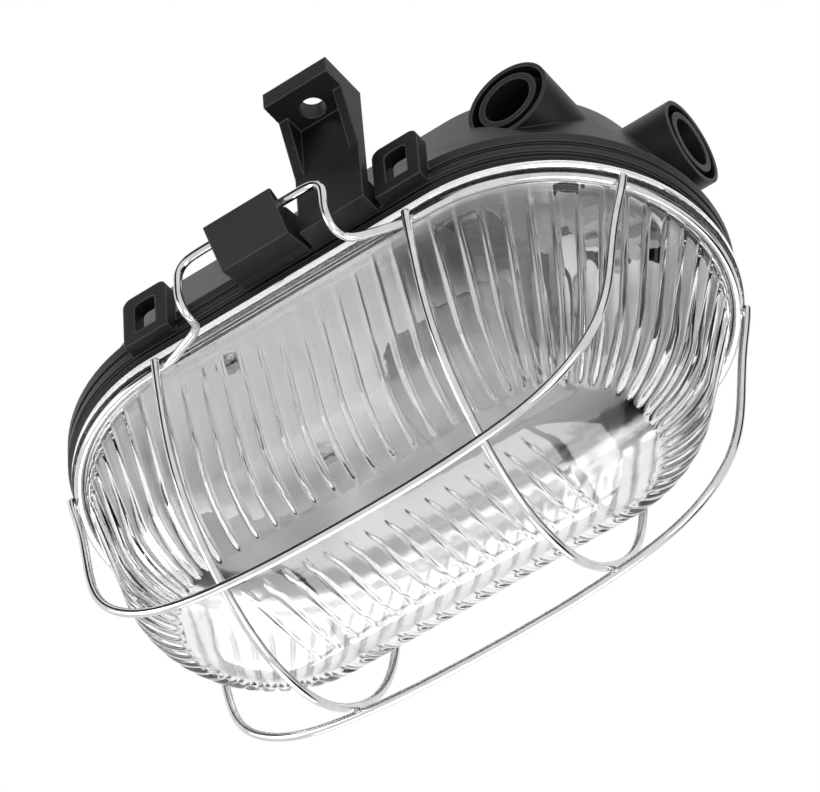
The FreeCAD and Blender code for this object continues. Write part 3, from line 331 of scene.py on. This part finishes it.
def pressed_glass_mesh():
    """Grid of section points by columns: place = arc centre + r * heading, moved outwards by the rib's
    height along the section's own normal.  Two attributes mark the knurled strip of the flange and the
    stippled inner face of the front."""
    columns = oval_columns()
    columns[:, 0] += GLASS_PLAY
    outer, inner = glass_section()
    section = np.vstack((outer, inner))
    rows, wide = len(section), len(columns)
    heading = np.radians(columns[:, 1])
    r = np.broadcast_to(section[:, 0][:, None], (rows, wide))
    z = np.broadcast_to(section[:, 1][:, None], (rows, wide))
    x = columns[:, 0] + r * np.cos(heading)
    y = r * np.sin(heading)
    step = np.roll(section, -1, 0) - np.roll(section, 1, 0)
    step /= np.linalg.norm(step, axis=1)[:, None]
    normal = np.column_stack((step[:, 1], -step[:, 0]))
    normal[len(outer) - 4:len(outer)] = (0.0, -1.0)
    foot = int(np.argmax(outer[:, 1] <= FOOT_LEVEL))
    row = np.arange(rows)
    on_dome = ((row >= foot) & (row < len(outer)))[:, None]
    length = np.concatenate(([0.0], np.cumsum(np.linalg.norm(np.diff(section, axis=0), axis=1))))
    along = (length - length[foot])[:, None]
    height = np.where(on_dome, rib_height(x - GLASS_PLAY, y, r, z, along), 0.0)
    x = x + height * normal[:, 0][:, None] * np.cos(heading)
    y = y + height * normal[:, 0][:, None] * np.sin(heading)
    z = z + height * normal[:, 1][:, None]
    # Outer and inner face each close on the middle line, so no wall joins them there.
    quads = grid_faces(rows, wide, rows_wrap=True)[:, [0, 3, 2, 1]]
    quads = quads[np.repeat(row, wide) != len(outer) - 1]
    mesh = bpy.data.meshes.new("pressed_glass")
    mesh.from_pydata((np.stack((x, y, z), -1).reshape(-1, 3) / 1000).tolist(), [], quads.tolist())
    knurled = (np.abs(section[:, 0] - 58.7) < 0.75) & (np.abs(section[:, 1] + 56.5) < 0.3)
    stippled = (row >= len(outer)) & (section[:, 1] < -113.0)
    for name, marked in (("knurl", knurled), ("stipple", stippled)):
        mark = mesh.attributes.new(name, "FLOAT", "POINT")
        mark.data.foreach_set("value", np.repeat(marked.astype(np.float32), wide))
    return mesh


def clear_glass():
    """Clear pressed glass: mould waves 9 mm long, orange peel 1.7 mm wide, a knurled strip of 1.1 mm
    points round the flange and a light haze on the stippled inner face.  Lamps reach the parts inside,
    because shadow rays pass through."""
    finish, t = empty_finish("clear_glass")
    place = add(t, "ShaderNodeTexCoord").outputs["Object"]
    wave = add(t, "ShaderNodeTexNoise", {"Vector": place, "Scale": 110.0, "Detail": 2.0, "Roughness": 0.4})
    peel = add(t, "ShaderNodeTexNoise", {"Vector": place, "Scale": 600.0, "Detail": 2.0})
    knurl = add(t, "ShaderNodeAttribute", attribute_name="knurl")
    points = add(t, "ShaderNodeTexVoronoi", {"Vector": place, "Scale": 900.0})
    strip = add(t, "ShaderNodeMath", {0: points.outputs["Distance"], 1: knurl.outputs["Fac"]},
                operation="MULTIPLY")
    low = add(t, "ShaderNodeBump", {"Height": wave.outputs["Fac"], "Distance": 0.0006, "Strength": 0.12})
    fine = add(t, "ShaderNodeBump", {"Height": peel.outputs["Fac"], "Distance": 0.00006, "Strength": 0.15,
                                     "Normal": low.outputs[0]})
    pressed = add(t, "ShaderNodeBump", {"Height": strip.outputs[0], "Distance": 0.0006, "Strength": 0.35,
                                        "Normal": fine.outputs[0]})
    stipple = add(t, "ShaderNodeAttribute", attribute_name="stipple")
    haze = add(t, "ShaderNodeMapRange", {"Value": stipple.outputs["Fac"], "To Min": 0.01, "To Max": 0.11})
    glass = add(t, "ShaderNodeBsdfPrincipled", {"Base Color": colour("#fcfcfc"), "Roughness": haze.outputs[0],
                                                "Transmission Weight": 1.0, "IOR": 1.5,
                                                "Normal": pressed.outputs[0]})
    through = add(t, "ShaderNodeBsdfTransparent", {"Color": colour("#fafafa")})
    ray = add(t, "ShaderNodeLightPath")
    mix = add(t, "ShaderNodeMixShader", {0: ray.outputs["Is Shadow Ray"], 1: glass.outputs[0],
                                         2: through.outputs[0]})
    add(t, "ShaderNodeOutputMaterial", {"Surface": mix.outputs[0]})
    return finish


mesh = pressed_glass_mesh()
face_outwards(mesh, merge=2e-6)
mesh.shade_smooth()
mesh.materials.append(clear_glass())
cover = bpy.data.objects.new("pressed_glass_cover", mesh)
scene.collection.objects.link(cover)
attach(cover, "guard")
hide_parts("glass_cover")


# Wire guard. Drawn steel wire 2.8 mm thick, bent cold, spot-welded where wires cross and bright plated.
# The ring with its two bails hooks over the rim, and the plating is a little cloudy.
WIRE_RADIUS = 1.38                       # mm
AROUND = 16                              # points round the wire
END_EASE = 0.25, 0.3                     # mm that the edge of a cut end is taken out and in
RING_RADIUS, RING_LEVEL = 58.3, -58.55   # mm: the ring's round ends, and its level
RING_END = 49.4                          # mm from the middle to the centre of a round end
BAR_Y, BAR_LEVEL = 74.1, -40.1           # mm: the bar of a bail, in its hook
HOOP_X = 45.5                            # mm from the middle to each hoop


def plated_wire():
    """Bright metal: clouds 6 mm wide vary tone and roughness, and a ripple 0.7 mm wide is the plating's."""
    finish, t = empty_finish("plated_wire")
    place = add(t, "ShaderNodeTexCoord").outputs["Object"]
    cloud = add(t, "ShaderNodeTexNoise", {"Vector": place, "Scale": 160.0, "Detail": 4.0, "Roughness": 0.6})
    ripple = add(t, "ShaderNodeTexNoise", {"Vector": place, "Scale": 1400.0, "Detail": 3.0})
    tone = add(t, "ShaderNodeValToRGB", {"Fac": cloud.outputs["Fac"]})
    for stop, code, at in zip(tone.color_ramp.elements, ("#c6c6c6", "#d8d8d7"), (0.3, 0.65)):
        stop.color, stop.position = colour(code), at
    rough = add(t, "ShaderNodeMapRange", {"Value": cloud.outputs["Fac"], "To Min": 0.07, "To Max": 0.17})
    bump = add(t, "ShaderNodeBump", {"Height": ripple.outputs["Fac"], "Distance": 0.00002, "Strength": 0.05})
    body = add(t, "ShaderNodeBsdfPrincipled", {"Base Color": tone.outputs[0], "Metallic": 1.0,
                                               "Roughness": rough.outputs[0], "Normal": bump.outputs[0]})
    add(t, "ShaderNodeOutputMaterial", {"Surface": body.outputs[0]})
    return finish


wire = plated_wire()


def spline(corners, closed):
    """Cubic B-spline through the middle of its corners: with t from 0 to 1 in each span, the weights of
    four corners in a row are (1-t)^3, 3t^3-6t^2+4, -3t^3+3t^2+3t+1 and t^3, all over 6."""
    corners = np.array(corners, float)
    if closed:
        corners = np.vstack((corners[-1:], corners, corners[:2]))
    else:
        corners = np.vstack((2 * corners[0] - corners[1], corners, 2 * corners[-1] - corners[-2]))
    t = np.linspace(0.0, 1.0, 7, endpoint=False)[:, None]
    weights = np.stack(((1 - t) ** 3, 3 * t ** 3 - 6 * t ** 2 + 4, -3 * t ** 3 + 3 * t ** 2 + 3 * t + 1,
                        t ** 3)) / 6
    spans = len(corners) - 3
    line = sum(weights[k][None] * corners[k:k + spans][:, None] for k in range(4))
    line = line.reshape(-1, corners.shape[1])
    return line if closed else np.vstack((line, (corners[-3] + 4 * corners[-2] + corners[-1]) / 6))


def bent_wire(name, corners, closed=False):
    """Round wire along a spline.  A corner is (x, y, z) and a direction square to the wire there, in mm:
    a point of the skin is centre + radius * (cos a * side + sin a * other side).  Cut ends are eased."""
    line = spline(corners, closed)
    centre, guide = line[:, :3], line[:, 3:]
    along = np.roll(centre, -1, 0) - np.roll(centre, 1, 0)
    if not closed:
        along[0], along[-1] = centre[1] - centre[0], centre[-1] - centre[-2]
    along /= np.linalg.norm(along, axis=1)[:, None]
    side = guide - (guide * along).sum(1)[:, None] * along
    side /= np.linalg.norm(side, axis=1)[:, None]
    other = np.cross(along, side)
    radius = np.full(len(centre), WIRE_RADIUS)
    if not closed:
        out, inwards = END_EASE
        centre = np.vstack((centre[:1] - along[:1] * out, centre, centre[-1:] + along[-1:] * out))
        side, other = (np.vstack((v[:1], v, v[-1:])) for v in (side, other))
        radius = np.concatenate(([WIRE_RADIUS - inwards], radius, [WIRE_RADIUS - inwards]))
    a = np.linspace(0.0, 2 * np.pi, AROUND, endpoint=False)[None, :, None]
    skin = centre[:, None] + radius[:, None, None] * (np.cos(a) * side[:, None] + np.sin(a) * other[:, None])
    rings = len(centre)
    faces = grid_faces(rings, AROUND, rows_wrap=closed).tolist()
    if not closed:
        faces += [list(range(AROUND))[::-1], list(range((rings - 1) * AROUND, rings * AROUND))]
    mesh = bpy.data.meshes.new(name)
    mesh.from_pydata((skin.reshape(-1, 3) / 1000).tolist(), [], faces)
    face_outwards(mesh)
    mesh.shade_smooth()
    mesh.materials.append(wire)
    piece = bpy.data.objects.new(name + "_bent", mesh)
    scene.collection.objects.link(piece)
    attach(piece, "guard")
    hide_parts(name)


# A quarter of the ring wire, from the middle of a bail's bar, down its leg and in under the flange.
quarter = np.array([
    (8.0, BAR_Y, BAR_LEVEL, 0, 1, 0), (17.0, BAR_Y, BAR_LEVEL, 0, 1, 0), (23.2, BAR_Y, -40.2, 0, 1, 0),
    (26.4, BAR_Y, -43.6, 0, 1, 0), (26.5, BAR_Y, -49.0, 0, 1, 0), (26.5, 74.0, -55.0, 0, 1, -0.3),
    (26.5, 71.3, -58.5, 0, 1, -1), (26.5, 68.3, RING_LEVEL, 0, 0.3, -1), (27.0, 65.0, RING_LEVEL, 0, 0, -1),
    (29.8, 62.6, RING_LEVEL, 0, 0, -1), (35.0, 61.2, RING_LEVEL, 0, 0, -1),
    (40.5, 59.0, RING_LEVEL, 0, 0, -1), (HOOP_X, RING_RADIUS, RING_LEVEL, 0, 0, -1)])
# The control corners of an arc lie outside it, for steps of 16 degrees by 3 / (2 + cos 16) = 1.0131.
turn = np.radians(np.arange(80.0, -1.0, -16.0))
corner_radius = RING_RADIUS * 1.0131
round_end = np.array([(RING_END + corner_radius * c, corner_radius * s, RING_LEVEL, 0, 0, -1)
                      for c, s in zip(np.cos(turn), np.sin(turn))])
quarter = np.vstack((quarter, round_end))
right_half = np.vstack((quarter * (1, -1, 1, 1, -1, 1), quarter[::-1][1:]))
left_half = (right_half * (-1, 1, 1, -1, 1, 1))[::-1]
ring = np.vstack((right_half, left_half))
ring[:, 0] += GLASS_PLAY * (np.abs(ring[:, 0]) > 40)
bent_wire("guard_ring", ring, closed=True)

# Half a hoop as (distance from the middle, level), down to its weld on the ring.
hoop = [(0.0, -143.3), (8.5, -142.8), (16.5, -140.2), (24.5, -135.6), (32.0, -129.6), (39.5, -122.2),
        (46.5, -113.0), (52.5, -101.5), (56.6, -88.0), (59.0, -73.0), (60.5, -62.0), (60.9, -57.4)]
whole_hoop = [(-y, z) for y, z in hoop[::-1]] + hoop[1:]
for name, x in (("guard_hoop_left", -HOOP_X), ("guard_hoop_right", HOOP_X)):
    bent_wire(name, [(x, y, z, 1, 0, 0) for y, z in whole_hoop])

# The long wires lie outside the hoops.  Their legs lean out to the ring, more so towards the entries.
# A corner is (x, level, distance from the middle).
run_right = [(15.0, -133.2, 34.0), (30.0, -132.6, 34.0), (45.5, -131.0, 34.0), (58.0, -129.0, 34.0),
             (70.0, -125.6, 34.0), (80.5, -119.3, 34.0)]
run_left = [(-x, z, y) for x, z, y in run_right]
right_leg = [(88.5, -110.6, 34.0), (92.8, -100.0, 34.0), (95.0, -88.0, 33.9), (97.5, -74.0, 33.4),
             (100.9, -63.0, 32.8), (101.9, -57.4, 32.5)]
left_leg = [(-88.0, -111.3, 34.0), (-91.8, -101.0, 34.0), (-93.4, -88.0, 33.8), (-95.6, -74.0, 33.0),
            (-99.2, -63.0, 31.9), (-100.2, -57.4, 31.5)]
long_wire = left_leg[::-1] + run_left[::-1] + [(0.0, -133.4, 34.0)] + run_right + right_leg
for name, side in (("guard_wire_front", -1), ("guard_wire_back", 1)):
    bent_wire(name, [(x, side * y, z, 0, 1, 0) for x, z, y in long_wire])


# Reflector tray. Thin aluminium sheet, pressed, with a satin rolled face that has lost a little shine.
# Four screws hold it to the pan's bosses.
def satin_aluminium():
    """Satin metal: noise 0.45 mm wide, stretched 20 times along X, draws the rolling lines, and one of
    33 mm clouds it."""
    finish, t = empty_finish("satin_aluminium")
    place = add(t, "ShaderNodeTexCoord").outputs["Object"]
    along = add(t, "ShaderNodeMapping", {"Vector": place, "Scale": (0.05, 1.0, 1.0)})
    lines = add(t, "ShaderNodeTexNoise", {"Vector": along.outputs[0], "Scale": 2200.0, "Detail": 3.0})
    cloud = add(t, "ShaderNodeTexNoise", {"Vector": place, "Scale": 30.0, "Detail": 3.0})
    tone = add(t, "ShaderNodeValToRGB", {"Fac": cloud.outputs["Fac"]})
    for stop, code in zip(tone.color_ramp.elements, ("#c6c7c7", "#f0f0f0")):
        stop.color = colour(code)
    rough = add(t, "ShaderNodeMapRange", {"Value": lines.outputs["Fac"], "To Min": 0.22, "To Max": 0.42})
    bump = add(t, "ShaderNodeBump", {"Height": lines.outputs["Fac"], "Distance": 0.00003, "Strength": 0.6})
    body = add(t, "ShaderNodeBsdfPrincipled", {"Base Color": tone.outputs[0], "Metallic": 1.0,
                                               "Roughness": rough.outputs[0], "Normal": bump.outputs[0]})
    add(t, "ShaderNodeOutputMaterial", {"Surface": body.outputs[0]})
    return finish


aluminium = satin_aluminium()
dress("reflector", aluminium)

# Skirts of the tray. Two strips of the same bright sheet carry on from the tray's long edges, down the
# wall and out between the seal and the glass, which clamps them.
SKIRT_THICKNESS = 0.14                   # mm
SKIRT_REACH = 37.0                       # mm from the middle to each end


def tray_skirt(name, side):
    """Thin sheet: a line (distance from the middle, level) in mm is moved half the thickness each way
    along its normal and carried along X."""
    line = np.array([(53.9, -45.3), (53.4, -49.0), (53.2, -52.6), (53.7, -53.15), (56.5, -53.15),
                     (59.2, -53.15)])
    step = np.gradient(line, axis=0)
    normal = np.column_stack((-step[:, 1], step[:, 0])) / np.linalg.norm(step, axis=1)[:, None]
    half = normal * SKIRT_THICKNESS / 2
    loop = np.vstack((line + half, (line - half)[::-1]))
    along = np.linspace(-SKIRT_REACH, SKIRT_REACH, 12)
    rows, wide = len(along), len(loop)
    points = np.empty((rows, wide, 3))
    points[..., 0] = along[:, None]
    points[..., 1] = side * loop[:, 0]
    points[..., 2] = loop[:, 1]
    k = np.arange(len(line) - 1)
    cap = np.column_stack((k, k + 1, wide - 2 - k, wide - 1 - k))
    faces = np.vstack((grid_faces(rows, wide), cap, cap[:, ::-1] + (rows - 1) * wide))
    mesh = bpy.data.meshes.new(name)
    mesh.from_pydata((points.reshape(-1, 3) / 1000).tolist(), [], faces.tolist())
    face_outwards(mesh)
    mesh.materials.append(aluminium)
    piece = bpy.data.objects.new(name, mesh)
    scene.collection.objects.link(piece)
    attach(piece, "base")


tray_skirt("tray_skirt_near", -1)
tray_skirt("tray_skirt_far", 1)


# Lampholder. Glazed porcelain, slip cast and fired, glossy; its white is painted grey as the shade of the tray it
# sits in.
# The bracket carries it, and it holds the threaded shell.
def glazed(name, low, high, rough, scale):
    """Coloured surface with some gloss: a noise with `scale` spots to the metre moves the tone between
    two hex codes and the roughness with it, and ripples the skin."""
    finish, t = empty_finish(name)
    place = add(t, "ShaderNodeTexCoord").outputs["Object"]
    cloud = add(t, "ShaderNodeTexNoise", {"Vector": place, "Scale": scale, "Detail": 4.0})
    tone = add(t, "ShaderNodeValToRGB", {"Fac": cloud.outputs["Fac"]})
    for stop, code, at in zip(tone.color_ramp.elements, (low, high), (0.3, 0.7)):
        stop.color, stop.position = colour(code), at
    shine = add(t, "ShaderNodeMapRange", {"Value": cloud.outputs["Fac"], "To Min": rough * 0.8,
                                          "To Max": rough * 1.3})
    bump = add(t, "ShaderNodeBump", {"Height": cloud.outputs["Fac"], "Distance": 0.0001, "Strength": 0.3})
    body = add(t, "ShaderNodeBsdfPrincipled", {"Base Color": tone.outputs[0], "Roughness": shine.outputs[0],
                                               "Normal": bump.outputs[0]})
    add(t, "ShaderNodeOutputMaterial", {"Surface": body.outputs[0]})
    return finish


# Spots of the glaze 11 mm wide, on a grey that is painted shade over white porcelain.
dress("lampholder_body", glazed("porcelain_in_painted_shade", "#8a8a8b", "#a2a2a2", 0.18, 90.0))


# Threaded shell, contact leaf and terminal sleeves. Rolled and drawn brass, dulled to a greyish yellow
# by heat and air, pressed into the porcelain and the block.
def bare_metal(name, low, high, rough, scale):
    """Bare metal: a noise with `scale` spots to the metre moves the tone between two hex codes and the
    roughness with it."""
    finish, t = empty_finish(name)
    place = add(t, "ShaderNodeTexCoord").outputs["Object"]
    cloud = add(t, "ShaderNodeTexNoise", {"Vector": place, "Scale": scale, "Detail": 5.0, "Roughness": 0.6})
    tone = add(t, "ShaderNodeValToRGB", {"Fac": cloud.outputs["Fac"]})
    for stop, code, at in zip(tone.color_ramp.elements, (low, high), (0.3, 0.7)):
        stop.color, stop.position = colour(code), at
    shine = add(t, "ShaderNodeMapRange", {"Value": cloud.outputs["Fac"], "To Min": rough * 0.7,
                                          "To Max": rough * 1.4})
    bump = add(t, "ShaderNodeBump", {"Height": cloud.outputs["Fac"], "Distance": 0.00003, "Strength": 0.5})
    body = add(t, "ShaderNodeBsdfPrincipled", {"Base Color": tone.outputs[0], "Metallic": 1.0,
                                               "Roughness": shine.outputs[0], "Normal": bump.outputs[0]})
    add(t, "ShaderNodeOutputMaterial", {"Surface": body.outputs[0]})
    return finish


# Stains 2.5 mm wide.
brass = bare_metal("rolled_brass", "#aba38f", "#cdc6b2", 0.28, 400.0)
for name in ("lampholder_shell", "lampholder_contact", "terminal_sleeves"):
    dress(name, brass)


# Bracket and screws. Pressed steel and turned steel screws, zinc plated, which leaves a grey bloom in
# spots 2 mm wide.
steel = bare_metal("zinc_plated_steel", "#8e9092", "#b9bbbc", 0.32, 500.0)
for name in ("lampholder_bracket", "reflector_screws", "bracket_screws", "holder_screws", "terminal_screws",
             "terminal_fixing_screw"):
    dress(name, steel)


# Terminal block. Moulded heat-proof plastic, dull mid grey with a fine speckle 1.4 mm wide, held to
# the tray by one screw.
dress("terminal_block", glazed("block_plastic", "#8f8f8d", "#a3a3a1", 0.5, 700.0))


# Leads. Stranded copper in rubber sleeving, a greyed brown for live and a greyed blue for neutral,
# clamped in the block and the lampholder.
dress("lead_live", glazed("grey_brown_sleeving", "#2b2623", "#38322e", 0.45, 800.0))
dress("lead_neutral", glazed("grey_blue_sleeving", "#3f444c", "#505660", 0.45, 800.0))
